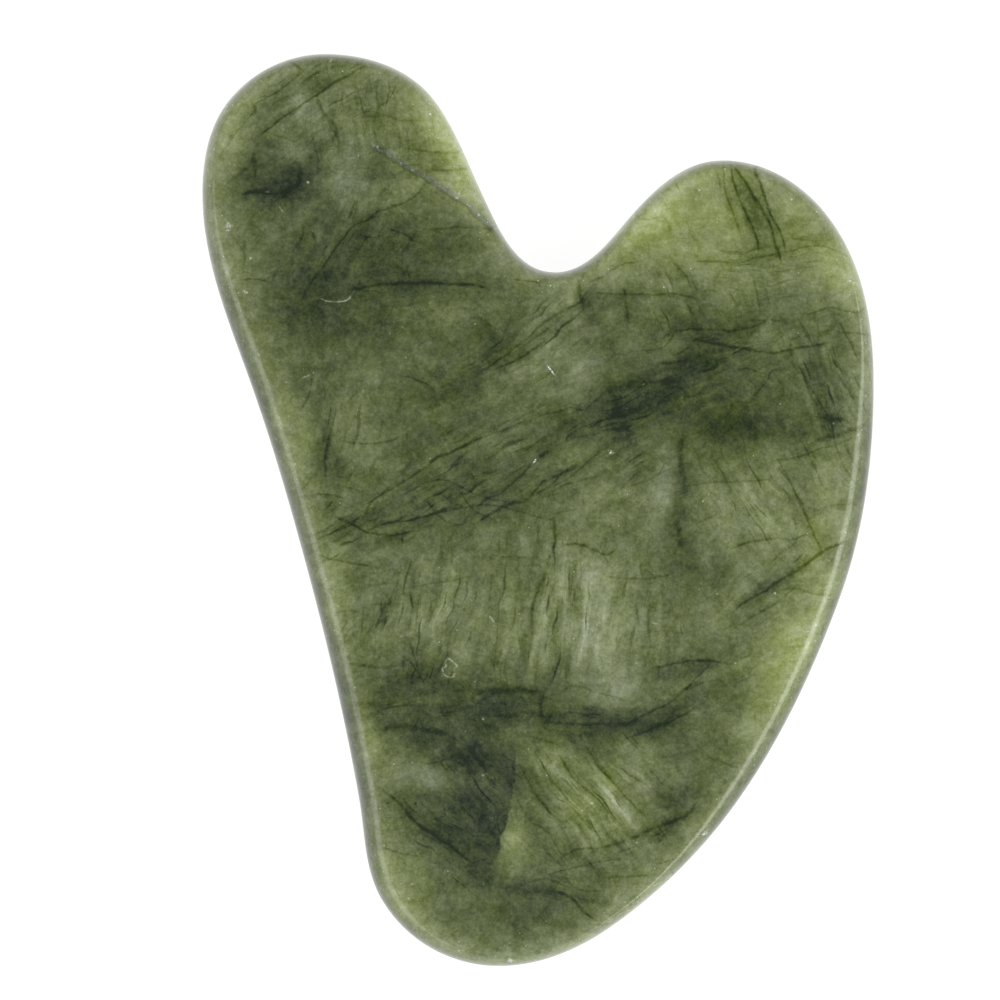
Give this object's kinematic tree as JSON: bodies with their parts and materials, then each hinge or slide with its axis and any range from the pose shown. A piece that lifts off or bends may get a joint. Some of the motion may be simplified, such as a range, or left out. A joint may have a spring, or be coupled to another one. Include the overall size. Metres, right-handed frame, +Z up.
{
  "type": "gua sha scraper",
  "caption": "Flat heart-shaped massage scraper of polished green jade, with two rounded lobes either side of a notch, one rounded toe and rounded edges.",
  "frame": {"origin": "middle of the slab's footprint, on its lower flat face", "axes": "+X across the slab, towards the bowed side; +Y along it, from the toe to the lobes; +Z up, through its thickness"},
  "size_m": [0.06, 0.0816, 0.006],
  "materials": {
    "jade": "polished"
  },
  "bodies": {
    "root": {"jade_stone": "jade"}
  },
  "joints": []
}
